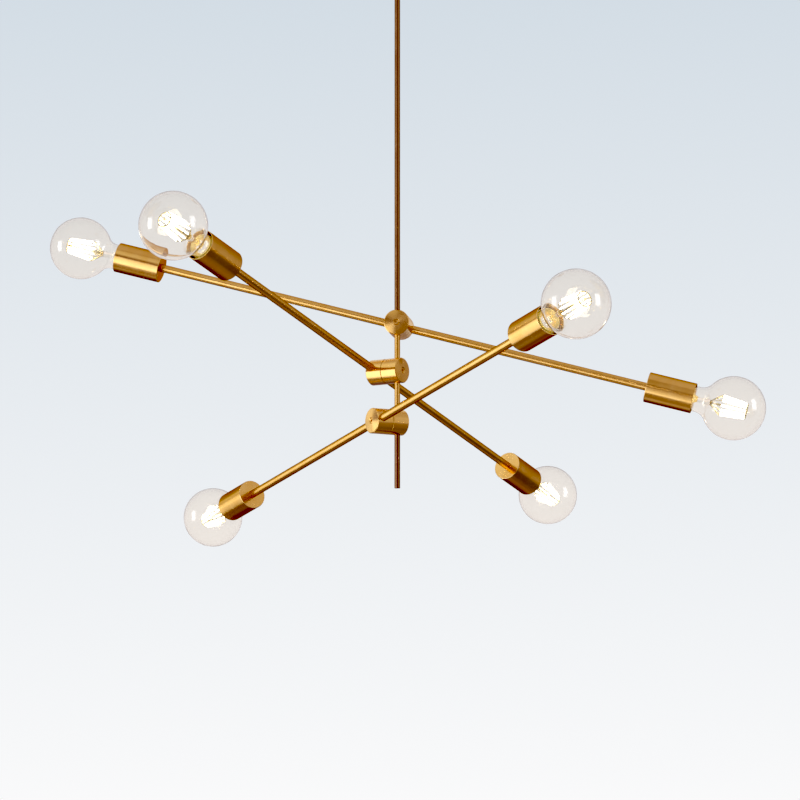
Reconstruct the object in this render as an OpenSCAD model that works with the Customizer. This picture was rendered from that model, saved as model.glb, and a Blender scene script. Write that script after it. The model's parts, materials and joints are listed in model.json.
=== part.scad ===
// Ceiling chandelier with three adjustable double arms and six globe bulbs.
// Origin: centre of the ceiling face. +Z is up, so the whole light hangs below z = 0.
// Each hub is a drum in two halves. The stem passes through one half, the arm through the other.

/* [Hanging height] */
// Distance from the ceiling to the axis of the top hub
top_hub_drop = 474.3; // [300:0.1:900]
// Distance from the top hub to the middle hub
upper_hub_step = 60.7; // [50:0.1:90]
// Distance from the middle hub to the bottom hub
lower_hub_step = 65.6; // [50:0.1:90]
// Length of stem below the axis of the bottom hub
stem_tail = 82.6; // [25:0.1:200]

/* [Arms] */
// Distance from the middle of an arm to the centre of its bulb
arm_reach = 433; // [300:1:600]
// Outer diameter of the arm tube
arm_d = 10; // [9:0.5:11]
// Wall of the arm tube
arm_wall = 1; // [0.8:0.1:1.2]
// Direction in plan of the top hub's axis, in degrees
top_azimuth = 81.8; // [0:0.1:360]
// Direction in plan of the middle hub's axis, in degrees
middle_azimuth = 146.1; // [0:0.1:360]
// Direction in plan of the bottom hub's axis, in degrees
bottom_azimuth = 212.4; // [0:0.1:360]
// Slope of the top arm as hung, in degrees
top_tilt = 15; // [-35:0.1:60]
// Slope of the middle arm as hung, in degrees
middle_tilt = 16.3; // [-35:0.1:60]
// Slope of the bottom arm as hung, in degrees
bottom_tilt = 11.8; // [-35:0.1:60]
// Lowest slope that the stop in a hub lets an arm take, in degrees
tilt_low = -35; // [-60:1:-10]
// Highest slope that the stop in a hub lets an arm take, in degrees
tilt_high = 60; // [10:1:80]

/* [Stem] */
// Outer diameter of the stem tube
stem_d = 7; // [7:0.5:8.5]
// Wall of the stem tube
stem_wall = 0.55; // [0.5:0.05:0.6]
// Turn of a hub either way that the lead slots in the stem leave room for, in degrees
swivel = 40; // [20:1:45]

/* [Hubs] */
// Diameter of a hub
hub_d = 32; // [30:1:40]
// Distance from the stem's axis to the arm's axis
hub_offset = 30; // [28:1:36]
// Metal left behind the stem's axis and in front of the arm's axis
hub_end = 9; // [8.5:0.5:12]
// Gap at the seam between the halves
seam_gap = 0.4; // [0.3:0.1:0.8]

/* [Sockets] */
// Outer diameter of a socket cup
cup_d = 38; // [37:1:45]
// Length of a socket cup
cup_length = 60; // [56:1:62]
// Distance from a cup's rim to the centre of its bulb
rim_to_bulb = 51; // [50:1:54]
// Wall of a socket cup
cup_wall = 1; // [0.8:0.1:1.2]

/* [Bulbs] */
// Diameter of the globe
bulb_d = 80; // [80:1:95]
// Length of a bulb from its crown to its contact tip
bulb_length = 120; // [118:1:125]
// Thickness of the glass
glass_wall = 0.9; // [0.7:0.1:1.2]

/* [Canopy] */
// Diameter of the canopy
canopy_d = 120; // [116:1:150]
// Depth of the canopy
canopy_h = 25; // [24:1:40]
// Wall of the canopy
canopy_wall = 1.2; // [0.8:0.1:1.5]
// Distance between the two canopy studs
stud_spacing = 64; // [60:1:66]
// Distance between the two slots for the ceiling box's screws
box_spacing = 88.9; // [88:0.1:89]

/* [Hidden] */
$fn = 64;
hubs = [1 : 3];
ends = [-1, 1];
brass = [0.80, 0.56, 0.26];
steel = [0.66, 0.67, 0.69];
dark_steel = [0.25, 0.25, 0.27];
clear_glass = [0.85, 0.92, 0.95, 0.35];
hot_wire = [1.0, 0.80, 0.45];
white_resin = [0.92, 0.92, 0.90];
porcelain = [0.93, 0.90, 0.83];
cable_red = [0.62, 0.20, 0.14];

// Fits
running = 0.05;
thread_fit = 0.03;
touch = 0.05;
cut = 1;

// Stem and hubs
stem_r = stem_d / 2;
stem_bore_r = stem_r - stem_wall;
stem_top = -12;
hub_r = hub_d / 2;
hub_drop = [
    top_hub_drop,
    top_hub_drop + upper_hub_step,
    top_hub_drop + upper_hub_step + lower_hub_step
];
hub_azimuth = [top_azimuth, middle_azimuth, bottom_azimuth];
arm_tilt = [top_tilt, middle_tilt, bottom_tilt];
stem_bottom = -hub_drop[2] - stem_tail;
seam = hub_offset / 2;
hub_front = hub_offset + hub_end;
edge_chamfer = 0.8;
seam_chamfer = 0.25;
end_dome_r = 110;

// Leads
lead_r = 0.9;
lead_aside = 2 * lead_r + 0.05;
lead_spread = 40;
lead_window_h = 3.6;
lead_window_turn = swivel + 20;
lead_way_r = 2.2;
lead_meet = seam + 3;
elbow_h = 8;
bend_bulge = 1.03;
// Terminal of each lead, counted from the middle one, and its bend's height above the stem
lead_clamp = [0, -1, 1];
lead_rise = [2.5, 5, 6.5];

// Set screws
screw_r = 3;
screw_key_d = 3.5;
screw_key_depth = 1.5;
screw_sunk = 1.3;
countersink_r = 4.2;
collar_key_d = 1.8;

// Pivot joint inside a hub
pivot_r = 5;
pivot_thread = 7;
pivot_head_r = 7.2;
pivot_head = [seam + 2.1, seam + 4.1];
pocket_end = seam + 6;
ring_groove = [seam + 1, seam + 2];
ring_r = [5.5, 8.3];
ring_play = 0.05;
ring_mouth = 60;
spring_r = [3, 7];
spring_t = 0.6;

// Stop lug and its groove
lug_r = 1.2;
lug_at = 12;
lug_length = 1.8;
groove_depth = 2.4;
groove_play = 0.3;
groove_spare = 1;

// Arm tube and sockets, all distances along an arm from its middle
arm_r = arm_d / 2;
arm_bore_r = arm_r - arm_wall;
arm_thread_r = arm_r - 0.4;
cup_r = cup_d / 2;
cup_bore_r = cup_r - cup_wall;
cup_base = 2;
rim_at = arm_reach - rim_to_bulb;
cup_at = rim_at - cup_length;
holder_r = 16.4;
holder_at = cup_at + cup_base + touch;
holder_front = rim_at - 10;
holder_bore_r = 14.4;
holder_bore_at = cup_at + 24;
chamber_r = 9;
chamber = [cup_at + 12, cup_at + 20];
thread_length = 10;
shell_r = [13.75, 14.3];
shell_at = [holder_bore_at + 4, holder_front - 1];
contact_r = 3;
rivet_r = 1;
rivet_at = 5;

// Bulb, heights along its own axis from the globe's centre, crown upwards
globe_r = bulb_d / 2;
tip_at = globe_r - bulb_length;
neck_r = 16;
neck_fillet = 16;
fillet_x = neck_r + neck_fillet;
fillet_y = -sqrt(pow(globe_r + neck_fillet, 2) - pow(fillet_x, 2));
fillet_turn = atan2(-fillet_y, fillet_x);
cap_r = 13.2;
cap_wall = 0.4;
cap_at = [tip_at + 3, tip_at + 27];
cap_flare = 0.7;
glass_foot = cap_at[1] - 7;
foot_r = cap_r - cap_wall - touch;
arc_step = 6;
mount_r = 4;
mount_top = -30;
filament_r = 1;
filament_count = 12;
filament_turn = 8;
filament_foot = [12.5, -17];
filament_head = [9, 17];
post_r = 1.2;
support_r = 0.4;
support_foot = [1.8, mount_top - 0.5];
crown_band = [1.2, 0.8];
crown_spokes = 4;

// Canopy fittings
canopy_corner = 8;
nipple_r = 5;
nipple = [-35, -17];
nut_across = 14;
nut_h = 4;
collar_r = 9;
collar_h = 16;
collar_corner = 2;
collar_screw_r = 1.5;
collar_screw_drop = 3;
collar_screw_length = 4.8;
stud_r = 2;
stud_bottom = -31;
cap_nut_r = 5;
cap_nut_h = 8;
knurl_count = 24;
knurl_r = 0.4;
bar_length = 110;
bar_width = 22;
bar_t = 2;
bar_lip = 5;
bar_lip_t = 1.6;
slot_r = 2.3;
slot_length = 12;
block_size = [30, 14, 11];
block_y = 16;
block_pitch = 9;
clamp_r = 2.2;
clamp_bore_r = 1.3;
clamp_screw_r = 1.4;
canopy_floor = -canopy_h + canopy_wall;

function node_name(group, i, piece) = str(group, "_", i, "_", piece);

CANOPY_NODES = [
    "canopy", "mounting_bar", "canopy_studs", "canopy_nuts", "threaded_nipple", "nipple_nut",
    "stem_collar", "collar_screw", "terminal_block", "terminal_clamps", "supply_leads", "stem_tube"
];
HUB_PIECES = [
    "stem_half", "stem_screw", "pivot_screw", "lead",
    "arm_half", "arm_screw", "retaining_ring", "spring_washer"
];
ARM_PIECES = [
    "tube", "leads", "socket_cups", "lampholders", "contacts", "bulb_glass", "bulb_caps", "filaments"
];

// ---- Places -------------------------------------------------------------------------------------

// Hub frame: X along the drum from the stem to the arm, Y along a level arm, Z up.
module at_hub(i) {
    translate([0, 0, -hub_drop[i - 1]])
        rotate([0, 0, hub_azimuth[i - 1]])
            children();
}

// The same frame turned with the arm: Y now runs along the sloping arm.
module at_arm(i) {
    at_hub(i)
        rotate([arm_tilt[i - 1], 0, 0])
            children();
}

// Both ends of an arm: Z runs outwards from the middle of the arm.
module at_arm_ends(i) {
    at_arm(i)
        translate([hub_offset, 0, 0])
            for (side = ends)
                rotate([-90 * side, 0, 0])
                    children();
}

// Both bulbs of an arm: Z runs outwards from the centre of the globe.
module at_bulbs(i) {
    at_arm_ends(i)
        translate([0, 0, arm_reach])
            children();
}

// Turns a shape made about Z so that it lies along X and starts at x.
module along_x(x) {
    translate([x, 0, 0])
        rotate([0, 90, 0])
            children();
}

// ---- Shared shapes ------------------------------------------------------------------------------

module tube(outer_r, inner_r, length) {
    difference() {
        cylinder(r = outer_r, h = length);
        translate([0, 0, -cut])
            cylinder(r = inner_r, h = length + 2 * cut);
    }
}

// Round bar with a chamfer at each end.
module chamfered_bar(r, length, foot, head) {
    rotate_extrude()
        polygon([
            [0, 0],
            [r - foot, 0],
            [r, foot],
            [r, length - head],
            [r - head, length],
            [0, length]
        ]);
}

// Round bar with a shallow dome at its foot and a chamfer at each end.
module domed_bar(r, length, foot, head) {
    rise = end_dome_r - sqrt(pow(end_dome_r, 2) - pow(r, 2));
    intersection() {
        rotate_extrude()
            polygon([
                [0, -cut],
                [r - foot - rise - cut, -cut],
                [r, foot + rise],
                [r, length - head],
                [r - head, length],
                [0, length]
            ]);
        translate([0, 0, end_dome_r])
            sphere(r = end_dome_r);
    }
}

// Set screw standing on z = 0 with its hexagon socket at the top.
module set_screw(r, length, key_d) {
    difference() {
        chamfered_bar(r, length, r / 3, 0.2);
        translate([0, 0, length - screw_key_depth])
            cylinder(d = key_d, h = screw_key_depth + cut, $fn = 6);
    }
}

// Threaded hole along Z with a countersink around its mouth, which lies at z = 0.
module screw_hole(depth) {
    hole_r = screw_r + thread_fit;
    translate([0, 0, -depth])
        cylinder(r = hole_r, h = depth + cut);
    translate([0, 0, hole_r - countersink_r])
        cylinder(r1 = hole_r, r2 = countersink_r + cut, h = countersink_r - hole_r + cut);
}

// Round lead through a list of points, with a ball at each bend.
module lead(points) {
    for (k = [1 : len(points) - 1]) {
        step = points[k] - points[k - 1];
        translate(points[k - 1])
            rotate([0, acos(step.z / norm(step)), atan2(step.y, step.x)])
                cylinder(r = lead_r, h = norm(step), $fn = 24);
    }
    for (k = [1 : 1 : len(points) - 2])
        translate(points[k])
            sphere(r = lead_r * bend_bulge, $fn = 24);
}

// ---- Canopy -------------------------------------------------------------------------------------

// Half section of a dish with a rounded corner, mouth at y = 0 and floor at y = depth.
module dish_section(r, depth, corner) {
    square([r, depth - corner]);
    square([r - corner, depth]);
    translate([r - corner, depth - corner])
        intersection() {
            circle(r = corner);
            square(corner + cut);
        }
}

module stud_places() {
    for (side = ends)
        translate([side * stud_spacing / 2, 0, 0])
            children();
}

module canopy() {
    color(brass)
        difference() {
            mirror([0, 0, 1])
                rotate_extrude()
                    difference() {
                        dish_section(canopy_d / 2, canopy_h, canopy_corner);
                        dish_section(
                            canopy_d / 2 - canopy_wall,
                            canopy_h - canopy_wall,
                            canopy_corner - canopy_wall
                        );
                    }
            translate([0, 0, -canopy_h - cut])
                cylinder(r = nipple_r + touch, h = canopy_wall + 2 * cut);
            stud_places()
                translate([0, 0, -canopy_h - cut])
                    cylinder(r = stud_r + 0.2, h = canopy_wall + 2 * cut);
        }
}

module box_slot() {
    straight = slot_length - 2 * slot_r;
    translate([0, 0, -bar_t / 2])
        cube([straight, 2 * slot_r, bar_t + 2 * cut], center = true);
    for (side = ends)
        translate([side * straight / 2, 0, -bar_t - cut])
            cylinder(r = slot_r, h = bar_t + 2 * cut);
}

module mounting_bar() {
    color(steel)
        difference() {
            union() {
                translate([-bar_length / 2, -bar_width / 2, -bar_t])
                    cube([bar_length, bar_width, bar_t]);
                for (side = ends)
                    translate([0, side * (bar_width - bar_lip_t) / 2, -bar_lip / 2])
                        cube([bar_length - 6, bar_lip_t, bar_lip], center = true);
            }
            for (side = ends)
                translate([side * box_spacing / 2, 0, 0])
                    box_slot();
            stud_places()
                translate([0, 0, -bar_t - cut])
                    cylinder(r = stud_r + thread_fit, h = bar_t + 2 * cut);
        }
}

module canopy_studs() {
    color(steel)
        stud_places()
            translate([0, 0, stud_bottom])
                chamfered_bar(stud_r, -stud_bottom - 0.3, 0.4, 0.3);
}

module canopy_nuts() {
    color(brass)
        stud_places()
            translate([0, 0, -canopy_h - touch - cap_nut_h])
                difference() {
                    chamfered_bar(cap_nut_r, cap_nut_h, 1, 0.4);
                    translate([0, 0, cap_nut_h + canopy_h + stud_bottom - 0.5])
                        cylinder(r = stud_r + thread_fit, h = cap_nut_h);
                    for (k = [0 : knurl_count - 1])
                        rotate([0, 0, k * 360 / knurl_count])
                            translate([cap_nut_r + knurl_r / 3, 0, cap_nut_h / 4])
                                cylinder(r = knurl_r, h = cap_nut_h / 2, $fn = 16);
                }
}

module threaded_nipple() {
    color(steel)
        translate([0, 0, nipple[0]])
            tube(nipple_r, stem_r + running, nipple[1] - nipple[0]);
}

module nipple_nut() {
    color(steel)
        translate([0, 0, canopy_floor + touch])
            difference() {
                cylinder(d = nut_across / cos(30), h = nut_h, $fn = 6);
                translate([0, 0, -cut])
                    cylinder(r = nipple_r + thread_fit, h = nut_h + 2 * cut);
            }
}

module stem_collar() {
    collar_top = -canopy_h - touch;
    color(brass)
        difference() {
            translate([0, 0, collar_top])
                mirror([0, 0, 1])
                    rotate_extrude()
                        dish_section(collar_r, collar_h, collar_corner);
            translate([0, 0, collar_top - collar_h - cut])
                cylinder(r = stem_r + running, h = collar_h + 2 * cut);
            translate([0, 0, nipple[0] - 0.5])
                cylinder(r = nipple_r + thread_fit, h = collar_h);
            translate([0, 0, nipple[0] - collar_screw_drop])
                rotate([-90, 0, 0])
                    cylinder(r = collar_screw_r + thread_fit, h = collar_r + cut);
        }
}

module collar_screw() {
    color(dark_steel)
        translate([0, stem_r + touch, nipple[0] - collar_screw_drop])
            rotate([-90, 0, 0])
                set_screw(collar_screw_r, collar_screw_length, collar_key_d);
}

module clamp_places() {
    for (k = [-1 : 1])
        translate([k * block_pitch, block_y, canopy_floor + touch + block_size.z / 2])
            children();
}

module terminal_block() {
    color(white_resin)
        difference() {
            translate([-block_size.x / 2, block_y, canopy_floor + touch])
                cube(block_size);
            clamp_places() {
                translate([0, -cut, 0])
                    rotate([-90, 0, 0])
                        cylinder(r = clamp_r + thread_fit, h = block_size.y + 2 * cut);
                translate([0, block_size.y / 2, 0])
                    cylinder(r = clamp_screw_r + touch, h = block_size.z);
            }
        }
}

module terminal_clamps() {
    screw_h = block_size.z / 2 - 0.5;
    color(brass)
        clamp_places()
            difference() {
                union() {
                    translate([0, 1, 0])
                        rotate([-90, 0, 0])
                            cylinder(r = clamp_r, h = block_size.y - 2);
                    translate([0, block_size.y / 2, 0])
                        cylinder(r = clamp_screw_r, h = screw_h);
                }
                rotate([-90, 0, 0])
                    cylinder(r = clamp_bore_r, h = block_size.y + cut);
                translate([0, block_size.y / 2, screw_h])
                    cube([0.6, 2 * clamp_screw_r + cut, 1.4], center = true);
            }
}

// ---- Stem and its leads -------------------------------------------------------------------------

// Wedge about Z that opens towards X, half_turn degrees to each side.
module wedge(half_turn, reach, h) {
    linear_extrude(h, center = true)
        polygon([
            [0, 0],
            for (turn = [-half_turn : half_turn / 2 : half_turn])
                reach * [cos(turn), sin(turn)]
        ]);
}

module stem_tube() {
    color(brass)
        difference() {
            translate([0, 0, stem_bottom])
                tube(stem_r, stem_bore_r, stem_top - stem_bottom);
            for (i = hubs)
                at_hub(i)
                    wedge(lead_window_turn, 3 * stem_r, lead_window_h);
        }
}

// Place of lead i inside the stem where it passes the hubs above its own.
function aside(i) =
    let (turn = top_azimuth + 180 + (i == 2 ? -lead_spread : lead_spread))
    i == 1 ? [0, 0] : lead_aside * [cos(turn), sin(turn)];

function lead_route(i) =
    let (
        side = aside(i),
        clamp_x = lead_clamp[i - 1] * block_pitch,
        clamp_z = canopy_floor + touch + block_size.z / 2,
        own_top = -hub_drop[i - 1] + elbow_h,
        clear_of_hub_above = i == 1 ? own_top + hub_r : -hub_drop[i - 2] - hub_r
    )
    concat(
        [
            [clamp_x, block_y + 3, clamp_z],
            [clamp_x, block_y - 3, clamp_z],
            [clamp_x, block_y - 6, stem_top + 2],
            [side.x, side.y, stem_top + lead_rise[i - 1]]
        ],
        i == 1 ? [] : [
            [side.x, side.y, clear_of_hub_above],
            [0, 0, own_top + elbow_h]
        ],
        [[0, 0, own_top + touch]]
    );

module supply_leads() {
    color(cable_red)
        for (i = hubs)
            lead(lead_route(i));
}

// ---- Hub half on the stem -----------------------------------------------------------------------

module stem_half(i) {
    length = hub_end + seam - seam_gap / 2;
    color(brass)
        at_hub(i)
            difference() {
                union() {
                    along_x(-hub_end)
                        domed_bar(hub_r, length, edge_chamfer, seam_chamfer);
                    translate([0, 0, lug_at])
                        along_x(seam - cut)
                            cylinder(r = lug_r, h = cut + lug_length);
                }
                translate([0, 0, -hub_r - cut])
                    cylinder(r = stem_r + running, h = hub_d + 2 * cut);
                along_x(0)
                    cylinder(r = lead_way_r, h = seam + cut);
                along_x(pivot_thread)
                    cylinder(r = pivot_r + thread_fit, h = seam);
                along_x(-hub_end)
                    mirror([0, 0, 1])
                        screw_hole(hub_end);
            }
}

module stem_screw(i) {
    color(brass)
        at_hub(i)
            translate([-stem_r - 2 * running - touch, 0, 0])
                rotate([0, -90, 0])
                    set_screw(screw_r, hub_end - stem_r - screw_sunk, screw_key_d);
}

module pivot_screw(i) {
    foot = pivot_thread + 0.5;
    color(steel)
        at_hub(i)
            difference() {
                union() {
                    along_x(foot)
                        cylinder(r = pivot_r, h = pivot_head[1] - foot);
                    along_x(pivot_head[0])
                        cylinder(r = pivot_head_r, h = pivot_head[1] - pivot_head[0]);
                }
                along_x(foot - cut)
                    cylinder(r = lead_way_r, h = pivot_head[1]);
            }
}

// The lead turns out of the stem's axis into the hub's axis, and ends inside the hollow pivot.
module hub_lead(i) {
    color(cable_red)
        at_hub(i)
            lead([[0, 0, elbow_h], [0, 0, 0], [lead_meet, 0, 0]]);
}

// ---- Hub half on the arm ------------------------------------------------------------------------

// Arc groove for the stop lug, cut from the seam inwards. It turns with the arm.
module lug_groove() {
    lug_turn = asin(lug_r / lug_at) + groove_spare;
    low = 90 - tilt_high - lug_turn;
    high = 90 - tilt_low + lug_turn;
    wide = lug_r + groove_play;
    translate([seam - cut, 0, 0])
        rotate([90, 0, 90])
            rotate([0, 0, low])
                rotate_extrude(angle = high - low)
                    translate([lug_at - wide, 0])
                        square([2 * wide, groove_depth + cut]);
}

module arm_half(i) {
    start = seam + seam_gap / 2;
    color(brass)
        at_arm(i)
            difference() {
                along_x(hub_front)
                    mirror([0, 0, 1])
                        domed_bar(hub_r, hub_front - start, edge_chamfer, seam_chamfer);
                along_x(start - cut)
                    cylinder(r = pivot_head_r + running, h = pocket_end - start + cut);
                along_x(ring_groove[0])
                    cylinder(r = ring_r[1] + touch, h = ring_groove[1] - ring_groove[0]);
                along_x(seam)
                    cylinder(r = lead_way_r, h = hub_offset - seam);
                along_x(hub_front)
                    screw_hole(hub_end);
                translate([hub_offset, 0, 0])
                    rotate([90, 0, 0])
                        cylinder(r = arm_r + running, h = hub_d + cut, center = true);
                lug_groove();
            }
}

module arm_screw(i) {
    color(brass)
        at_arm(i)
            along_x(hub_offset + arm_r + 2 * running + touch)
                set_screw(screw_r, hub_end - arm_r - screw_sunk, screw_key_d);
}

module retaining_ring(i) {
    thickness = ring_groove[1] - ring_groove[0] - 2 * ring_play;
    color(steel)
        at_arm(i)
            along_x(ring_groove[0] + ring_play)
                difference() {
                    tube(ring_r[1], ring_r[0], thickness);
                    wedge(ring_mouth / 2, 2 * ring_r[1], 4 * thickness);
                }
}

module spring_washer(i) {
    start = pivot_head[1] + 2 * touch;
    depth = pocket_end - touch - start;
    color(steel)
        at_arm(i)
            along_x(start)
                rotate_extrude()
                    polygon([
                        [spring_r[0], 0],
                        [spring_r[0] + spring_t, 0],
                        [spring_r[1], depth - spring_t],
                        [spring_r[1], depth],
                        [spring_r[1] - spring_t, depth],
                        [spring_r[0], spring_t]
                    ]);
}

// ---- Arm and sockets ----------------------------------------------------------------------------

module arm_tube(i) {
    overall = 2 * (cup_at + thread_length);
    color(brass)
        at_arm(i)
            translate([hub_offset, 0, 0])
                difference() {
                    rotate([90, 0, 0])
                        union() {
                            cylinder(r = arm_r, h = 2 * cup_at, center = true);
                            cylinder(r = arm_thread_r, h = overall, center = true);
                        }
                    rotate([90, 0, 0])
                        cylinder(r = arm_bore_r, h = overall + cut, center = true);
                    along_x(-arm_d)
                        cylinder(r = lead_way_r, h = arm_d);
                }
}

module arm_leads(i) {
    reach = chamber[0] - 1;
    core_r = 0.6;
    core_end = [rivet_at, 0, chamber[1] - reach];
    color(cable_red) {
        at_arm(i) {
            translate([hub_offset, 0, 0])
                rotate([90, 0, 0]) {
                    cylinder(r = 1.3, h = 2 * reach, center = true);
                    cylinder(r = 2.4, h = 14, center = true);
                }
            along_x(lead_meet + touch)
                cylinder(r = lead_r, h = hub_offset - lead_meet - touch);
        }
        at_arm_ends(i)
            translate([0, 0, reach - 0.5])
                for (side = ends)
                    rotate([0, side * atan2(core_end.x, core_end.z), 0])
                        cylinder(r = core_r, h = norm(core_end) - 1);
    }
}

module socket_cups(i) {
    round_back = 0.8;
    round_rim = 0.3;
    color(brass)
        at_arm_ends(i)
            translate([0, 0, cup_at + touch])
                difference() {
                    chamfered_bar(cup_r, cup_length - touch, round_back, round_rim);
                    translate([0, 0, cup_base - touch])
                        cylinder(r = cup_bore_r, h = cup_length);
                    translate([0, 0, -cut])
                        cylinder(r = arm_thread_r + touch, h = cup_base + 2 * cut);
                }
}

module lampholders(i) {
    color(porcelain)
        at_arm_ends(i)
            difference() {
                translate([0, 0, holder_at])
                    chamfered_bar(holder_r, holder_front - holder_at, 1, 0.5);
                translate([0, 0, cup_at])
                    cylinder(r = arm_thread_r + thread_fit, h = chamber[0] - cup_at + cut);
                translate([0, 0, chamber[0]])
                    cylinder(r = chamber_r, h = chamber[1] - chamber[0]);
                translate([0, 0, holder_bore_at])
                    cylinder(r = holder_bore_r, h = cup_length);
                for (side = ends)
                    translate([side * rivet_at, 0, chamber[1] - cut])
                        cylinder(r = rivet_r + touch, h = holder_bore_at - chamber[1] + 2 * cut, $fn = 24);
            }
}

module contacts(i) {
    rivet_foot = chamber[1] - 0.8;
    contact_top = arm_reach + tip_at - touch;
    color(brass)
        at_arm_ends(i) {
            translate([0, 0, shell_at[0]])
                tube(shell_r[1], shell_r[0], shell_at[1] - shell_at[0]);
            translate([0, 0, holder_bore_at + touch])
                cylinder(r = contact_r, h = contact_top - holder_bore_at - touch);
            translate([0, 0, holder_bore_at + touch])
                translate([-rivet_at - 1.5, -1.5, 0])
                    cube([rivet_at + 1.5, 3, 0.6]);
            for (side = ends)
                translate([side * rivet_at, 0, rivet_foot])
                    cylinder(r = rivet_r, h = holder_bore_at + touch + 0.5 - rivet_foot, $fn = 24);
        }
}

// ---- Bulb ---------------------------------------------------------------------------------------

// Half outline of the glass, moved inwards by inset.
function glass_outline(inset) =
    concat(
        [[0, glass_foot], [foot_r - inset, glass_foot], [foot_r - inset, cap_at[1] + 0.3]],
        [[neck_r - inset, cap_at[1] + 4]],
        [
            for (turn = [0 : arc_step : fillet_turn])
                [fillet_x, fillet_y] + (neck_fillet + inset) * [-cos(turn), sin(turn)]
        ],
        [
            for (turn = [-fillet_turn : arc_step : 90])
                (globe_r - inset) * [cos(turn), sin(turn)]
        ],
        [[0, globe_r - inset]]
    );

module bulb_glass(i) {
    color(clear_glass)
        at_bulbs(i)
            rotate_extrude()
                difference() {
                    polygon(glass_outline(0));
                    polygon([
                        for (p = glass_outline(glass_wall))
                            [p.x, p.y == glass_foot ? p.y - cut : p.y]
                    ]);
                }
}

module bulb_caps(i) {
    insulator_r = [11.5, 5];
    color(brass)
        at_bulbs(i) {
            rotate_extrude()
                polygon([
                    [0, tip_at],
                    [insulator_r[1] - 1, tip_at],
                    [insulator_r[1], tip_at + 0.8],
                    [insulator_r[0], cap_at[0] - 0.4],
                    [cap_r, cap_at[0] + 1.5],
                    [cap_r, cap_at[1] - 2],
                    [cap_r + cap_flare, cap_at[1] - 0.5],
                    [cap_r + cap_flare, cap_at[1]],
                    [cap_r - cap_wall, cap_at[1]],
                    [cap_r - cap_wall, cap_at[0] + 2],
                    [0, cap_at[0] + 2]
                ]);
        }
}

// Round rod in the XZ plane between two [x, z] points.
module rod(start, end, r) {
    step = end - start;
    translate([start.x, 0, start.y])
        rotate([0, atan2(step.x, step.y), 0])
            cylinder(r = r, h = norm(step), $fn = 24);
}

// Glass mount with a flared foot and a post, round which a cage of straight filaments stands.
module filaments(i) {
    flare_r = foot_r - glass_wall - touch;
    crown_y = filament_head.y - crown_band[1] / 2;
    color(hot_wire)
        at_bulbs(i) {
            rotate_extrude()
                polygon([
                    [0, glass_foot + 1],
                    [flare_r, glass_foot + 1],
                    [flare_r, glass_foot + 2],
                    [mount_r, glass_foot + 12],
                    [mount_r, mount_top - 3],
                    [mount_r - 1.5, mount_top],
                    [0, mount_top]
                ]);
            translate([0, 0, mount_top - 1])
                cylinder(r = post_r, h = filament_head.y + 2 - mount_top, $fn = 24);
            translate([0, 0, filament_head.y - crown_band[1]])
                tube(
                    filament_head.x + crown_band[0] / 2,
                    filament_head.x - crown_band[0] / 2,
                    crown_band[1]
                );
            for (k = [0 : filament_count - 1])
                rotate([0, 0, filament_turn + k * 360 / filament_count]) {
                    rod(filament_foot, filament_head, filament_r);
                    rod(support_foot, filament_foot, support_r);
                }
            for (k = [0 : crown_spokes - 1])
                rotate([0, 0, filament_turn + k * 360 / crown_spokes])
                    rod([0, crown_y], [filament_head.x, crown_y], support_r);
        }
}

// ---- Output -------------------------------------------------------------------------------------

canopy();
mounting_bar();
canopy_studs();
canopy_nuts();
threaded_nipple();
nipple_nut();
stem_collar();
collar_screw();
terminal_block();
terminal_clamps();
supply_leads();
stem_tube();
for (i = hubs) {
    stem_half(i);
    stem_screw(i);
    pivot_screw(i);
    hub_lead(i);
    arm_half(i);
    arm_screw(i);
    retaining_ring(i);
    spring_washer(i);
    arm_tube(i);
    arm_leads(i);
    socket_cups(i);
    lampholders(i);
    contacts(i);
    bulb_glass(i);
    bulb_caps(i);
    filaments(i);
}
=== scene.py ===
import json
import math

import bmesh
import bpy
from mathutils import Matrix, Vector


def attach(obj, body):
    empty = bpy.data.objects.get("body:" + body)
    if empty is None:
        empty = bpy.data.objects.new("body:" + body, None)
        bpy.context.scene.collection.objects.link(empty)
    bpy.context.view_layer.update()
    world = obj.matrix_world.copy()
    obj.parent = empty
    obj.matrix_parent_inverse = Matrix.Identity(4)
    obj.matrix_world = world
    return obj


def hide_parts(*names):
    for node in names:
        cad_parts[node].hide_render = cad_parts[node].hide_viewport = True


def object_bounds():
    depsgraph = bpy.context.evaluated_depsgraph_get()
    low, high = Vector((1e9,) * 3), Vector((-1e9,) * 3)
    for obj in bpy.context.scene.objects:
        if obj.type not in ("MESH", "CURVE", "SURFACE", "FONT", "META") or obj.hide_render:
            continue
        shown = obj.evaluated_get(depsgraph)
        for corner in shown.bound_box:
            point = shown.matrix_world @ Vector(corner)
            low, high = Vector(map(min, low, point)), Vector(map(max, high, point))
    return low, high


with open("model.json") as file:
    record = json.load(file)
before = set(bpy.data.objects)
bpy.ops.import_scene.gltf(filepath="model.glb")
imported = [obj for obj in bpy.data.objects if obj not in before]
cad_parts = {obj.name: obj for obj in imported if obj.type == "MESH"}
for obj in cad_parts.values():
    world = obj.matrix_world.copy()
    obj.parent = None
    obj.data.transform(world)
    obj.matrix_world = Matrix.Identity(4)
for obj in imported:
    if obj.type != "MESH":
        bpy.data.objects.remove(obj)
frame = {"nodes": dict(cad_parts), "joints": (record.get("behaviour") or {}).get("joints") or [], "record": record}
cad_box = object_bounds()

# Sizes in metres, the same as the frame's but for GLOBE_R. Places along an arm are measured from
# the arm's middle.
MM = 0.001
HUBS = (1, 2, 3)
ENDS = {"low": -1, "high": 1}
LOW_STOP = -35
ARM_THREAD_R = 4.6 * MM
CUP_R = 19 * MM
CUP_WALL = 1 * MM
CUP_BASE = 2 * MM
CUP_BACK = 322.05 * MM
CUP_RIM = 382 * MM
GLOBE_AT = 433 * MM

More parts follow.
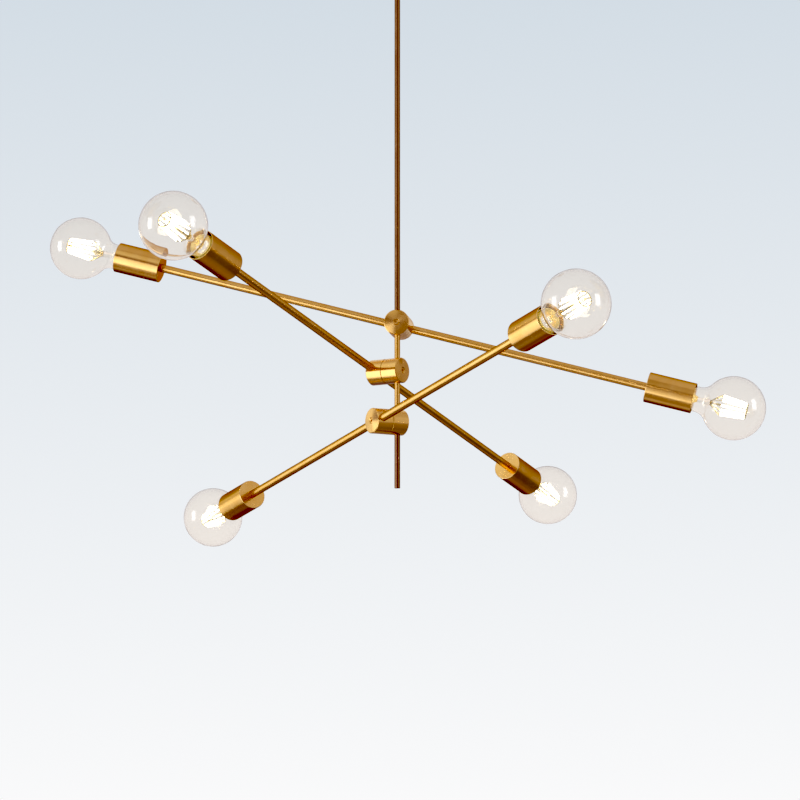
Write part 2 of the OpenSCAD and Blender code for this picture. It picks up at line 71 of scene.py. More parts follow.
# Bulb, heights from the centre of the globe. The globe's radius is a hair under the frame's 40 mm, so
# that the smooth globe stays inside the box of the frame's faceted one.
GLOBE_R = 39.95 * MM
GLASS_WALL = 0.9 * MM
NECK_R = 16 * MM
NECK_FILLET = 16 * MM
GLASS_FOOT = -60 * MM
FOOT_R = 12.75 * MM
CAP_R = 13.2 * MM
CAP_FLARE_R = 13.9 * MM
CAP_WALL = 0.4 * MM
CAP_FOOT = -77 * MM
CAP_TOP = -53 * MM
TIP = -80 * MM
THREAD_PITCH = 3.62 * MM
THREAD_DEPTH = 0.8 * MM
THREAD_RINGS = 72
SHOULDER_AT = CAP_TOP + 0.3 * MM
NECK_FOOT = CAP_TOP + 4 * MM
CAP_FLOOR_R = 11.5 * MM
INSULATOR_R = 11.4 * MM
CONTACT_R = 4.8 * MM
SHOULDER_STEPS = 6
FILLET_STEPS = 14
GLOBE_STEPS = 40
MOUNT_R = 4 * MM
MOUNT_TOP = -30 * MM
POST_R = 1.2 * MM
FILAMENT_R = 1 * MM
FILAMENT_COUNT = 12
FILAMENT_TURN = math.radians(8)
FILAMENT_FOOT = (12.5 * MM, -17 * MM)
FILAMENT_HEAD = (9 * MM, 17 * MM)
SUPPORT_R = 0.4 * MM
SUPPORT_FOOT_R = 1.8 * MM
CROWN_WIDTH = 1.2 * MM
CROWN_HEIGHT = 0.8 * MM
CROWN_SPOKES = 4


# ---- Node graphs --------------------------------------------------------------------------------


class Graph:
    """Builds a node tree from short calls. Any input may be a socket or a plain value."""

    def __init__(self, tree):
        self.tree = tree
        tree.nodes.clear()

    def add(self, kind, inputs=None, **settings):
        node = self.tree.nodes.new(kind)
        for name, value in settings.items():
            setattr(node, name, value)
        for key, value in (inputs or {}).items():
            self.feed(node.inputs[key], value)
        return node

    def feed(self, socket, value):
        if isinstance(value, bpy.types.NodeSocket):
            self.tree.links.new(value, socket)
        elif value is not None:
            socket.default_value = value

    def math(self, operation, a, b=None):
        return self.add("ShaderNodeMath", {0: a, 1: b}, operation=operation).outputs[0]

    def vector(self, operation, a, b=None):
        node = self.add("ShaderNodeVectorMath", {0: a, 1: b}, operation=operation)
        return node.outputs["Value" if operation in ("DOT_PRODUCT", "LENGTH") else "Vector"]

    def scaled(self, vector, factor):
        inputs = {0: vector, "Scale": factor}
        return self.add("ShaderNodeVectorMath", inputs, operation="SCALE").outputs[0]

    def span(self, value, start, end, low=0.0, high=1.0, smooth=True):
        """Maps value from start..end to low..high and holds it there beyond."""
        kind = "SMOOTHSTEP" if smooth else "LINEAR"
        inputs = {"Value": value, "From Min": start, "From Max": end, "To Min": low, "To Max": high}
        return self.add("ShaderNodeMapRange", inputs, interpolation_type=kind).outputs["Result"]

    def mix(self, factor, a, b):
        node = self.add("ShaderNodeMix", data_type="RGBA")
        self.feed(node.inputs["Factor"], factor)
        self.feed(node.inputs[6], a)
        self.feed(node.inputs[7], b)
        return node.outputs[2]

    def noise(self, vector, scale, detail=3.0, roughness=0.55):
        inputs = {"Vector": vector, "Scale": scale, "Detail": detail, "Roughness": roughness}
        return self.add("ShaderNodeTexNoise", inputs).outputs["Fac"]

    def bump(self, height, depth, normal=None):
        inputs = {"Height": height, "Distance": depth, "Normal": normal}
        return self.add("ShaderNodeBump", inputs).outputs[0]


def colour(r, g, b):
    return (r, g, b, 1.0)


def new_material(name):
    material = bpy.data.materials.new(name)
    material.use_nodes = True
    graph = Graph(material.node_tree)
    shader = graph.add("ShaderNodeBsdfPrincipled")
    output = graph.add("ShaderNodeOutputMaterial")
    graph.tree.links.new(shader.outputs[0], output.inputs["Surface"])
    return material, graph, shader


def object_place(graph):
    return graph.add("ShaderNodeTexCoord").outputs["Object"]


# Satin brass: its two cloud colours, a paler colour for faint bands and for painted highlights on fillets, and a
# dark brown for darkened parts.
BRASS = colour(0.90, 0.61, 0.26)
BRASS_DEEP = colour(0.86, 0.55, 0.21)
BRASS_PALE = colour(0.95, 0.72, 0.40)
DARK_BRASS = colour(0.34, 0.21, 0.14)
# Tints of brass seen at a slant: brown on the tubes and cups, none on the hubs.
BRASS_EDGE = colour(0.30, 0.12, 0.04)
BARE_EDGE = colour(1.0, 1.0, 1.0)


def turned_brass(name, axis=(0, 0, 1), point=(0, 0, 0), edge=BRASS_EDGE, darkening=None):
    """Satin brass turned on a lathe: fine rings about an axis, given in the piece's own coordinates.

    edge tints the metal where it's seen at a slant. darkening(graph, place) may give how far the metal is darkened
    towards a dark brown, from 0 to 1.
    """
    material, graph, shader = new_material(name)
    place = object_place(graph)
    offset = graph.vector("SUBTRACT", place, tuple(point))
    along = graph.vector("DOT_PRODUCT", offset, tuple(axis))
    radial = graph.vector("SUBTRACT", offset, graph.scaled(tuple(axis), along))
    out = graph.vector("LENGTH", radial)
    around = graph.vector("CROSS_PRODUCT", tuple(axis), offset)
    to_world = {"vector_type": "VECTOR", "convert_from": "OBJECT", "convert_to": "WORLD"}
    tangent = graph.add("ShaderNodeVectorTransform", {"Vector": around}, **to_world).outputs[0]
    rings = graph.add("ShaderNodeCombineXYZ", {"X": along, "Y": out}).outputs[0]
    ring_place = graph.vector("ADD", rings, graph.scaled(offset, 0.02))
    fine = graph.noise(ring_place, 1500, 2.0)
    bands = graph.noise(ring_place, 320, 3.0)
    clouds = graph.noise(offset, 45, 3.0)
    smudges = graph.noise(offset, 18, 3.0, 0.6)
    # Painted highlight: fillets marked in the mesh are painted paler and made a little smoother. This stands in
    # for the thin pale lines where rounded edges catch the light.
    edge_highlight = graph.add("ShaderNodeAttribute", attribute_name="edge_highlight").outputs["Fac"]

    tone = graph.mix(graph.span(clouds, 0.3, 0.7), BRASS_DEEP, BRASS)
    tone = graph.mix(graph.math("MULTIPLY", graph.span(bands, 0.45, 0.75), 0.12), tone, BRASS_PALE)
    tone = graph.mix(graph.math("MULTIPLY", edge_highlight, 0.6), tone, BRASS_PALE)
    if darkening:
        tone = graph.mix(darkening(graph, place), tone, DARK_BRASS)
    dull = graph.math("ADD", smudges, graph.math("MULTIPLY", bands, 0.2))
    rough = graph.span(dull, 0.4, 0.8, 0.21, 0.27)
    rough = graph.math("SUBTRACT", rough, graph.math("MULTIPLY", edge_highlight, 0.04))
    graph.feed(shader.inputs["Base Color"], tone)
    graph.feed(shader.inputs["Roughness"], rough)
    graph.feed(shader.inputs["Normal"], graph.bump(fine, 0.001 * MM, graph.bump(bands, 0.003 * MM)))
    graph.feed(shader.inputs["Tangent"], tangent)
    shader.inputs["Metallic"].default_value = 1.0
    shader.inputs["Specular Tint"].default_value = edge
    shader.inputs["Anisotropic"].default_value = 0.85
    shader.inputs["Anisotropic Rotation"].default_value = 0.25
    return material


# Filament light on a bulb's own cap.
GLOW_DEEP = colour(0.62, 0.48, 0.16)
GLOW_PALE = colour(0.85, 0.72, 0.34)


def metal(name, pale, dark, rough, scale=90, glow=0.0):
    """Plain machined or plated metal with faint clouding.

    glow stands in for the light of a bulb's filaments on its own metal.
    """
    material, graph, shader = new_material(name)
    place = object_place(graph)
    clouds = graph.noise(place, scale, 4.0)
    grain = graph.noise(place, scale * 14, 2.0)
    graph.feed(shader.inputs["Base Color"], graph.mix(graph.span(clouds, 0.35, 0.65), dark, pale))
    graph.feed(shader.inputs["Roughness"], graph.span(grain, 0.3, 0.7, rough * 0.8, rough * 1.2))
    graph.feed(shader.inputs["Normal"], graph.bump(grain, 0.02 * MM))
    shader.inputs["Metallic"].default_value = 1.0
    if glow:
        graph.feed(shader.inputs["Emission Color"], graph.mix(clouds, GLOW_DEEP, GLOW_PALE))
        shader.inputs["Emission Strength"].default_value = glow
        material.cycles.emission_sampling = "NONE"
    return material


def resin(name, pale, dark, rough):
    """Moulded resin with a faint mottle and orange-peel skin."""
    material, graph, shader = new_material(name)
    place = object_place(graph)
    mottle = graph.noise(place, 120, 4.0)
    skin = graph.noise(place, 900, 2.0)
    graph.feed(shader.inputs["Base Color"], graph.mix(graph.span(mottle, 0.35, 0.65), dark, pale))
    graph.feed(shader.inputs["Roughness"], graph.span(mottle, 0.3, 0.7, rough * 0.8, rough * 1.2))
    graph.feed(shader.inputs["Normal"], graph.bump(skin, 0.03 * MM))
    return material


def porcelain(name):
    """Glazed cream ceramic with a faint mottle under a smooth glaze."""
    material, graph, shader = new_material(name)
    place = object_place(graph)
    mottle = graph.noise(place, 160, 4.0)
    tone = graph.mix(graph.span(mottle, 0.3, 0.7), colour(0.80, 0.72, 0.52), colour(0.88, 0.82, 0.66))
    graph.feed(shader.inputs["Base Color"], tone)
    graph.feed(shader.inputs["Normal"], graph.bump(graph.noise(place, 240, 2.0), 0.02 * MM))
    shader.inputs["Roughness"].default_value = 0.16
    return material


def clear_glass(name):
    """Blown glass with slow waves in its surface and a faint warm painted glow, which stands in for its filaments'
    light scattered in the glass.
    """
    material, graph, shader = new_material(name)
    waves = graph.noise(object_place(graph), 35, 2.0)
    graph.feed(shader.inputs["Normal"], graph.bump(waves, 0.12 * MM))
    shader.inputs["Base Color"].default_value = colour(0.93, 0.91, 0.89)
    shader.inputs["Roughness"].default_value = 0.0
    shader.inputs["IOR"].default_value = 1.47
    shader.inputs["Transmission Weight"].default_value = 1.0
    # Painted glow: a faint warm emission over the whole glass.
    shader.inputs["Emission Color"].default_value = colour(1.0, 0.75, 0.45)
    shader.inputs["Emission Strength"].default_value = 0.032
    material.cycles.emission_sampling = "NONE"
    return material


def hot_filament(name):
    """Coated filament strip, lit."""
    material, graph, shader = new_material(name)
    grain = graph.noise(object_place(graph), 1500, 2.0)
    tone = graph.mix(grain, colour(1, 0.72, 0.2), colour(1, 0.82, 0.4))
    graph.feed(shader.inputs["Base Color"], tone)
    graph.feed(shader.inputs["Normal"], graph.bump(grain, 0.05 * MM))
    shader.inputs["Roughness"].default_value = 0.5
    shader.inputs["Emission Color"].default_value = colour(1.0, 0.93, 0.78)
    shader.inputs["Emission Strength"].default_value = 40.0
    material.cycles.emission_sampling = "NONE"
    return material


# ---- Meshes -------------------------------------------------------------------------------------

ARC_STEPS = 5
# How far beyond a fillet its painted highlight fades out.
HIGHLIGHT_FADE = 0.15 * MM
# Edges sharper than this, in degrees, stay sharp in the shading.
CREASE = 35
ROD_SIDES = 12
# Profile of a rod's domed end as (radius, height), both in parts of the rod's radius.
ROD_DOME = ((0, 0), (0.62, 0.1), (0.93, 0.55), (1, 1))


def rounded(corners, closed=True):
    """Outline of (radius, height, fillet) corners, as (radius, height, edge_highlight) points.

    Its fillets carry a painted highlight and the rest doesn't. The ends of an open outline have no fillet.
    """
    points = []
    count = len(corners)
    for k, (r, z, fillet) in enumerate(corners):
        here = Vector((r, z))
        inside = closed or 0 < k < count - 1
        if fillet == 0 or not inside:
            points.append((r, z, 0.0))
            continue
        back = (Vector(corners[k - 1][:2]) - here).normalized()
        ahead = (Vector(corners[(k + 1) % count][:2]) - here).normalized()
        half = back.angle(ahead) / 2
        reach = fillet / math.tan(half)
        centre = here + (back + ahead).normalized() * fillet / math.sin(half)
        start = here + back * reach - centre
        end = here + ahead * reach - centre
        before = here + back * (reach + HIGHLIGHT_FADE)
        after = here + ahead * (reach + HIGHLIGHT_FADE)
        points.append((before.x, before.y, 0.0))
        for step in range(ARC_STEPS + 1):
            turn = start.lerp(end, step / ARC_STEPS).normalized() * fillet
            points.append((centre.x + turn.x, centre.y + turn.y, 1.0))
        points.append((after.x, after.y, 0.0))
    return points


def bridge(bm, a, b, sides):
    """Faces between two rings. A ring may also be a single point on the axis."""
    for k in range(sides):
        quad = [a[k % len(a)], a[(k + 1) % len(a)], b[(k + 1) % len(b)], b[k % len(b)]]
        corners = list(dict.fromkeys(quad))
        if len(corners) > 2:
            bm.faces.new(corners)


def lathe(name, outline, closed=True, turns=96, shift=None):
    """Turns an outline of (radius, height, edge_highlight) points about Z; edge_highlight is how much painted
    highlight the brass puts on a point's ring.

    shift(angle, height) may add to a radius.
    """
    bm = bmesh.new()
    # How much painted highlight each ring carries; the brass paints its fillets paler by it.
    edge_highlight = bm.verts.layers.float.new("edge_highlight")
    rings = []
    for r, z, highlit in outline:
        ring = []
        for k in range(turns if r > 1e-7 else 1):
            angle = 2 * math.pi * k / turns
            radius = r + (shift(angle, z) if shift else 0)
            vert = bm.verts.new((radius * math.cos(angle), radius * math.sin(angle), z))
            vert[edge_highlight] = highlit
            ring.append(vert)
        rings.append(ring)
    following = rings[1:] + rings[:1] if closed else rings[1:]
    for a, b in zip(rings, following):
        bridge(bm, a, b, turns)
    return finished(name, bm)


def finished(name, bm):
    """A smooth-shaded piece from a bmesh, with its normals outwards."""
    bmesh.ops.recalc_face_normals(bm, faces=bm.faces)
    mesh = bpy.data.meshes.new(name)
    bm.to_mesh(mesh)
    bm.free()
    mesh.shade_smooth()
    mesh.set_sharp_from_angle(angle=math.radians(CREASE))
    piece = bpy.data.objects.new(name, mesh)
    bpy.context.scene.collection.objects.link(piece)
    return piece


def add_rod(bm, start, end, radius):
    """Adds a rod from start to end, with domed ends."""
    axis = end - start
    foot = [(r * radius, z * radius) for r, z in ROD_DOME]
    profile = foot + [(r, axis.length - z) for r, z in reversed(foot)]
    turn = axis.to_track_quat("Z", "Y")
    rings = []
    for r, z in profile:
        ring = []
        for k in range(ROD_SIDES if r > 0 else 1):
            angle = 2 * math.pi * k / ROD_SIDES
            corner = Vector((r * math.cos(angle), r * math.sin(angle), z))
            ring.append(bm.verts.new(start + turn @ corner))
        rings.append(ring)
    for a, b in zip(rings, rings[1:]):
        bridge(bm, a, b, ROD_SIDES)


def joined(name, rods):
    """One piece from a list of (start, end, radius) rods."""
    bm = bmesh.new()
    for start, end, radius in rods:
        add_rod(bm, start, end, radius)
    return finished(name, bm)


def dress(piece, material, body, slot, *nodes):
    """Gives a piece its material, and lets it stand for nodes of a body; slot is not used."""
    piece.data.materials.append(material)
    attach(piece, body)
    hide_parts(*nodes)


# ---- Places, read from the frame's joints -------------------------------------------------------

joints = {joint["name"]: joint for joint in frame["joints"]}


def hub_axis(i):
    """(place on the stem, direction of the drum's axis) of a hub."""
    return Vector(joints[f"hub_{i}_swivel"]["pos_m"]), Vector(joints[f"arm_{i}_tilt"]["axis"])


def arm_axis(i):
    """(middle, direction of the rising end) of an arm. The low stop's slope gives the slope as hung."""
    tilt = joints[f"arm_{i}_tilt"]
    drum = Vector(tilt["axis"])
    slope = math.radians(LOW_STOP - tilt["range_deg"][0])
    level = Vector((0, 0, 1)).cross(drum)
    return Vector(tilt["pos_m"]), Matrix.Rotation(slope, 3, drum) @ level


def end_place(i, side):
    """Matrix of one end of an arm: origin in the arm's middle, Z outwards."""
    middle, rising = arm_axis(i)
    z = rising * side
    x = hub_axis(i)[1]
    place = Matrix((x, z.cross(x), z)).transposed().to_4x4()
    place.translation = middle
    return place


# ---- Materials of the frame's own nodes ---------------------------------------------------------

brass = turned_brass("satin_brass")
steel = metal("plated_steel", colour(0.68, 0.68, 0.70), colour(0.52, 0.52, 0.55), 0.28)
dark_steel = metal("dark_steel", colour(0.20, 0.17, 0.14), colour(0.12, 0.10, 0.09), 0.35)
contact_brass = metal("contact_brass", colour(0.88, 0.74, 0.34), colour(0.78, 0.62, 0.26), 0.25)
ceramic = porcelain("porcelain")
white_resin = resin("white_resin", colour(0.86, 0.85, 0.81), colour(0.78, 0.77, 0.72), 0.4)
sleeve = resin("lead_sleeve", colour(0.50, 0.12, 0.07), colour(0.38, 0.08, 0.05), 0.5)
glass = clear_glass("clear_glass")
wire_metal = metal("wire_metal", colour(0.62, 0.55, 0.36), colour(0.48, 0.41, 0.25), 0.3)
lit_brass = metal("lit_brass", colour(0.88, 0.74, 0.34), colour(0.78, 0.62, 0.26), 0.25, glow=0.35)
filament_glow = hot_filament("filament")

SLOT_MATERIALS = {
    "satin_brass": brass,
    "contact_brass": contact_brass,
    "plated_steel": steel,
    "dark_steel": dark_steel,
    "porcelain": ceramic,
    "white_resin": white_resin,
    "lead_sleeve": sleeve,
    "clear_glass": glass,
    "filament": filament_glow,
}


# How far the stem is darkened towards a dark brown above and below the hubs.
BROWN_ABOVE = 0.85
BROWN_BELOW = 0.95


def cover(node, material):
    """Gives one of the frame's own meshes its material."""
    mesh = frame["nodes"][node].data
    mesh.materials.clear()
    mesh.materials.append(material)


def stem_darkening(graph, place):
    """Darker brown metal above and below the hubs, plain between them."""
    height = graph.add("ShaderNodeSeparateXYZ", {"Vector": place}).outputs["Z"]
    top = hub_axis(HUBS[0])[0].z
    bottom = hub_axis(HUBS[-1])[0].z
    fade = 10 * MM
    above = graph.span(height, top - fade, top + fade, 0.0, BROWN_ABOVE)
    below = graph.span(height, bottom + fade, bottom - fade, 0.0, BROWN_BELOW)
    return graph.math("MAXIMUM", above, below)


for row in frame["record"]["subparts"]:
    cover(row["node"], SLOT_MATERIALS[row["material_slot"]])
cover("stem_tube", turned_brass("satin_brass_stem", darkening=stem_darkening))
arm_brass = {}
for i in HUBS:
    drum_brass = turned_brass(f"satin_brass_hub_{i}", *reversed(hub_axis(i)), edge=BARE_EDGE)
    for piece in ("stem_half", "stem_screw", "arm_half", "arm_screw"):
        cover(f"hub_{i}_{piece}", drum_brass)
    arm_brass[i] = turned_brass(f"satin_brass_arm_{i}", *reversed(arm_axis(i)))
    cover(f"arm_{i}_tube", arm_brass[i])


# ---- Sockets and bulbs --------------------------------------------------------------------------


def cup_outline():
    """A socket cup with a painted highlight on its rounded rim and back edge, in place along its arm."""
    bore = CUP_R - CUP_WALL
    floor = CUP_BACK + CUP_BASE
    return rounded([
        (ARM_THREAD_R, CUP_BACK, 0),
        (CUP_R, CUP_BACK, 0.7 * MM),
        (CUP_R, CUP_RIM, 0.35 * MM),
        (bore, CUP_RIM, 0.35 * MM),
        (bore, floor, 0.6 * MM),
        (ARM_THREAD_R, floor, 0),
    ])


def glass_side(inset):
    """Side of the glass from its foot to its crown, moved inwards by inset."""
    fillet_x = NECK_R + NECK_FILLET
    fillet_z = -math.sqrt((GLOBE_R + NECK_FILLET) ** 2 - fillet_x**2)
    fillet_turn = math.atan2(-fillet_z, fillet_x)
    shoulder = NECK_FOOT - SHOULDER_AT
    points = [(FOOT_R - inset, GLASS_FOOT, 0.0), (FOOT_R - inset, SHOULDER_AT, 0.0)]
    for step in range(1, SHOULDER_STEPS):
        rise = step / SHOULDER_STEPS
        ease = rise * rise * (3 - 2 * rise)
        r = FOOT_R + (NECK_R - FOOT_R) * ease - inset
        points.append((r, SHOULDER_AT + shoulder * rise, 0.0))
    r = NECK_FILLET + inset
    for step in range(FILLET_STEPS + 1):
        turn = fillet_turn * step / FILLET_STEPS
        points.append((fillet_x - r * math.cos(turn), fillet_z + r * math.sin(turn), 0.0))
    r = GLOBE_R - inset
    for step in range(1, GLOBE_STEPS):
        turn = -fillet_turn + (math.pi / 2 + fillet_turn) * step / GLOBE_STEPS
        points.append((r * math.cos(turn), r * math.sin(turn), 0.0))
    points.append((0.0, r, 0.0))
    return points


def glass_outline():
    """The globe's wall, outside and inside."""
    return glass_side(0) + list(reversed(glass_side(GLASS_WALL)))


def thread(angle, z):
    """Radius to add for a rolled screw thread."""
    start = CAP_FOOT + 3 * MM
    end = CAP_TOP - 4 * MM
    if not start < z < end:
        return 0.0
    fade = min(1.0, (z - start) / THREAD_PITCH, (end - z) / THREAD_PITCH)
    wave = 0.5 - 0.5 * math.cos(2 * math.pi * z / THREAD_PITCH - angle)
    return -THREAD_DEPTH * wave * fade


def cap_outline():
    """The screw cap, open at the top, with rings close enough to carry the thread."""
    foot = CAP_FOOT + 0.2 * MM
    floor = CAP_FOOT + 2 * MM
    start = CAP_FOOT + 1.5 * MM
    end = CAP_TOP - 2 * MM
    bore = CAP_R - THREAD_DEPTH - CAP_WALL
    points = [(0.0, foot), (CAP_FLOOR_R, foot)]
    points += [(CAP_R, start + (end - start) * k / THREAD_RINGS) for k in range(THREAD_RINGS + 1)]
    points += [(CAP_FLARE_R, CAP_TOP - 0.5 * MM), (CAP_FLARE_R, CAP_TOP), (CAP_R - CAP_WALL, CAP_TOP)]
    points += [(bore, CAP_TOP - 4 * MM), (bore, floor), (0.0, floor)]
    return [(r, z, 0.0) for r, z in points]


def insulator_outline():
    """The cone between the cap and its contact."""
    foot = TIP + 0.9 * MM
    top = CAP_FOOT + 0.1 * MM
    return rounded([
        (0, foot, 0),
        (CONTACT_R - 0.2 * MM, foot, 0.2 * MM),
        (INSULATOR_R, CAP_FOOT - 0.3 * MM, 0.5 * MM),
        (INSULATOR_R, top, 0),
        (0, top, 0),
    ], closed=False)


def tip_outline():
    """The contact button at the foot of the bulb."""
    top = TIP + 0.8 * MM
    return rounded([
        (0, TIP, 0),
        (CONTACT_R - 0.4 * MM, TIP, 0.5 * MM),
        (CONTACT_R, top, 0),
        (0, top, 0),
    ], closed=False)


def mount_outline():
    """Glass mount: a flared foot, a stem, and the pinch that holds the wires."""
    flare = FOOT_R - GLASS_WALL - 0.1 * MM
    waist = MOUNT_R * 0.85
    foot = GLASS_FOOT + 1 * MM
    return rounded([
        (0, foot, 0),
        (flare, foot, 0.3 * MM),
        (flare, GLASS_FOOT + 2 * MM, 0.3 * MM),
        (waist, GLASS_FOOT + 13 * MM, 6 * MM),
        (waist, MOUNT_TOP - 6 * MM, 1 * MM),
        (MOUNT_R, MOUNT_TOP - 4 * MM, 1 * MM),
        (MOUNT_R, MOUNT_TOP, 1.2 * MM),
        (0, MOUNT_TOP, 0),
    ], closed=False)


def spoke(k, radius, height, count=FILAMENT_COUNT):
    """The kth of count points spaced evenly round the bulb's axis."""
    angle = FILAMENT_TURN + 2 * math.pi * k / count
    return Vector((radius * math.cos(angle), radius * math.sin(angle), height))


def filament_rods():
    """The lit strips. Each starts and ends a little inside its metal ends."""
    inset = 1.5 * MM
    rods = []
    for k in range(FILAMENT_COUNT):
        foot = spoke(k, *FILAMENT_FOOT)
        head = spoke(k, *FILAMENT_HEAD)
        step = (head - foot).normalized() * inset
        rods.append((foot + step, head - step, FILAMENT_R))
    return rods


def wire_rods():
    """The post in the middle, the metal ends of the filaments and the wires that hold them."""
    head_z = FILAMENT_HEAD[1]
    rods = [(Vector((0, 0, MOUNT_TOP - 1 * MM)), Vector((0, 0, head_z + 1 * MM)), POST_R)]
    end_r = FILAMENT_R * 0.8
    for k in range(FILAMENT_COUNT):
        foot = spoke(k, *FILAMENT_FOOT)
        head = spoke(k, *FILAMENT_HEAD)
        step = (head - foot).normalized() * 2 * MM
        rods.append((spoke(k, SUPPORT_FOOT_R, MOUNT_TOP - 0.5 * MM), foot, SUPPORT_R))
        rods.append((foot, foot + step, end_r))
        rods.append((head - step, head, end_r))
    crown = head_z - CROWN_HEIGHT / 2
    for k in range(CROWN_SPOKES):
        rim = spoke(k, FILAMENT_HEAD[0], crown, CROWN_SPOKES)
        rods.append((Vector((0, 0, crown)), rim, SUPPORT_R))
    return rods


def crown_outline():
    """The ring that the heads of the filaments hang from."""
    outer = FILAMENT_HEAD[0] + CROWN_WIDTH / 2
    inner = outer - CROWN_WIDTH
    top = FILAMENT_HEAD[1]
    bottom = top - CROWN_HEIGHT
    corners = ((inner, bottom), (outer, bottom), (outer, top), (inner, top))
    return rounded([(r, z, 0.2 * MM) for r, z in corners])


def bulb_pieces():
    """A bulb's pieces about its own axis, as (name, piece, material, slot, node that it stands for)."""
    outer = lathe("glass", glass_outline())
    cap = lathe("cap", cap_outline(), closed=False, turns=72, shift=thread)
    insulator = lathe("insulator", insulator_outline(), closed=False)
    contact = lathe("contact", tip_outline(), closed=False)
    mount = lathe("mount", mount_outline(), closed=False, turns=48)
    crown = lathe("crown", crown_outline(), turns=48)
    strips = joined("rods", filament_rods())
    wires = joined("wires", wire_rods())
    return (
        ("bulb_glass", outer, glass, "clear_glass", "bulb_glass"),
        ("bulb_cap", cap, lit_brass, "contact_brass", "bulb_caps"),
        ("cap_insulator", insulator, ceramic, "porcelain", "bulb_caps"),
        ("cap_contact", contact, contact_brass, "contact_brass", "bulb_caps"),
        ("bulb_mount", mount, glass, "clear_glass", "filaments"),
        ("filament_rods", strips, filament_glow, "filament", "filaments"),
        ("filament_wires", wires, wire_metal, "contact_brass", "filaments"),
        ("filament_crown", crown, wire_metal, "contact_brass", "filaments"),
    )


def placed_copy(pattern, name, place):
    """A copy of a piece whose mesh is moved, so that the object itself stays where the frame is."""
    mesh = pattern.data.copy()
    mesh.transform(place)
    piece = bpy.data.objects.new(name, mesh)
    bpy.context.scene.collection.objects.link(piece)
    return piece


cup_pattern = lathe("cup", cup_outline())
bulb_patterns = bulb_pieces()
for i in HUBS:
    for end, side in ENDS.items():
        place = end_place(i, side)
        cup = placed_copy(cup_pattern, f"arm_{i}_{end}_cup", place)
        dress(cup, arm_brass[i], f"arm_{i}", "satin_brass", f"arm_{i}_socket_cups")
        bulb_place = place @ Matrix.Translation((0, 0, GLOBE_AT))
        for name, pattern, material, slot, node in bulb_patterns:
            piece = placed_copy(pattern, f"arm_{i}_{end}_{name}", bulb_place)
            dress(piece, material, f"arm_{i}", slot, f"arm_{i}_{node}")
for pattern in (cup_pattern, *(row[1] for row in bulb_patterns)):
    bpy.data.objects.remove(pattern)


# ---- Studio -------------------------------------------------------------------------------------

# Focal length in mm on a 36 mm wide sensor, place in metres, and upward look in degrees.
CAMERA_LENS = 127.86
CAMERA_AT = (0.0034, -3.534, -1.0361)
CAMERA_RISE = 7.48
# The picture's black point: light below it is lost, as in a contrasty print.
BLACK = 0.08
# The backdrop's lower and upper colour, and the elevations in degrees that they are reached at.
BACKDROP_LOW = (0.96, 0.96, 0.965)
BACKDROP_HIGH = (0.645, 0.715, 0.78)
BACKDROP_FOOT = -1
BACKDROP_HEAD = 16
# The same for the strength of the light between the panels.
STUDIO_LOW = 0.36
STUDIO_HIGH = 0.60
STUDIO_FOOT = -30
STUDIO_HEAD = 35
# How far the floor lies below the chandelier, in metres: low enough for looks from below.
FLOOR_DROP = 4.0
FLOOR_R = 12.0
# Light on matt surfaces, such as the floor.
MATT_LIGHT = colour(1.0, 1.0, 1.02)
# Each panel: azimuth from +Y towards +X and its half width, elevation and its half height, softness
# of its edges, all in degrees, and its brightness. A later panel covers an earlier one.
PANELS = {
    "ahead_up": (0, 34, 36, 14, 8, 0.88),
    "upper_left": (-94, 36, 37, 16, 5, 0.95),
    "over_camera_left": (-150, 14, 38, 15, 5, 1.0),
    "over_camera": (178, 13, 40, 18, 5, 0.36),
    "right_fill": (112, 26, 14, 22, 6, 0.70),
    "right_ahead": (55, 26, 14, 20, 6, 0.46),
    "low_left_glow": (-50, 30, -64, 8, 6, 0.63),
    "dark_stripe": (-113, 44, 12.5, 5, 2.5, 0.22),
    "key": (-113, 43, -19, 24, 3, 1.9),
    "key_ahead": (-58, 10, 3, 15, 4, 1.1),
    "ahead_level": (16, 20, 3, 11, 5, 0.95),
    "camera_side": (180, 21, -16, 38, 4, 0.33),
    "low_right": (60, 36, -38, 18, 6, 0.16),
    "low_ahead": (-28, 27, -34, 18, 6, 0.2),
}
# What only sharp reflections show, as on the clear globes: a dim room with two tall soft windows.
DIM_ROOM = 0.5
WINDOWS = {
    "left": (-100, 9, 4, 13, 5, 9.0),
    "right": (108, 9, 8, 14, 5, 9.0),
}
# Light below full strength is warmer: its green and blue are these powers of it, over a cool spill.
GREEN_POWER = 1.22
BLUE_POWER = 1.15
GREEN_SPILL = 0.16
BLUE_SPILL = 0.3


def lamp(strength):
    """The colour of a light of some strength."""
    green = min(strength, strength**GREEN_POWER)
    blue = min(strength, strength**BLUE_POWER)
    return colour(strength, max(green, GREEN_SPILL), max(blue, BLUE_SPILL))


def world_direction(graph):
    """(azimuth, elevation) of the light's direction in degrees."""
    direction = graph.add("ShaderNodeTexCoord").outputs["Generated"]
    x, y, z = graph.add("ShaderNodeSeparateXYZ", {"Vector": direction}).outputs
    azimuth = graph.math("DEGREES", graph.math("ARCTAN2", x, y))
    elevation = graph.math("DEGREES", graph.math("ARCSINE", z))
    return azimuth, elevation


def with_panels(graph, light, azimuth, elevation, panels):
    """The light with soft-edged panels in front of it."""
    for az, half_width, el, half_height, soft, strength in panels.values():
        wrapped = graph.math("WRAP", graph.math("SUBTRACT", azimuth, az), 180)
        wrapped.node.inputs[2].default_value = -180
        wide = graph.span(graph.math("ABSOLUTE", wrapped), half_width + soft, half_width - soft)
        off = graph.math("ABSOLUTE", graph.math("SUBTRACT", elevation, el))
        high = graph.span(off, half_height + soft, half_height - soft)
        light = graph.mix(graph.math("MULTIPLY", wide, high), light, lamp(strength))
    return light


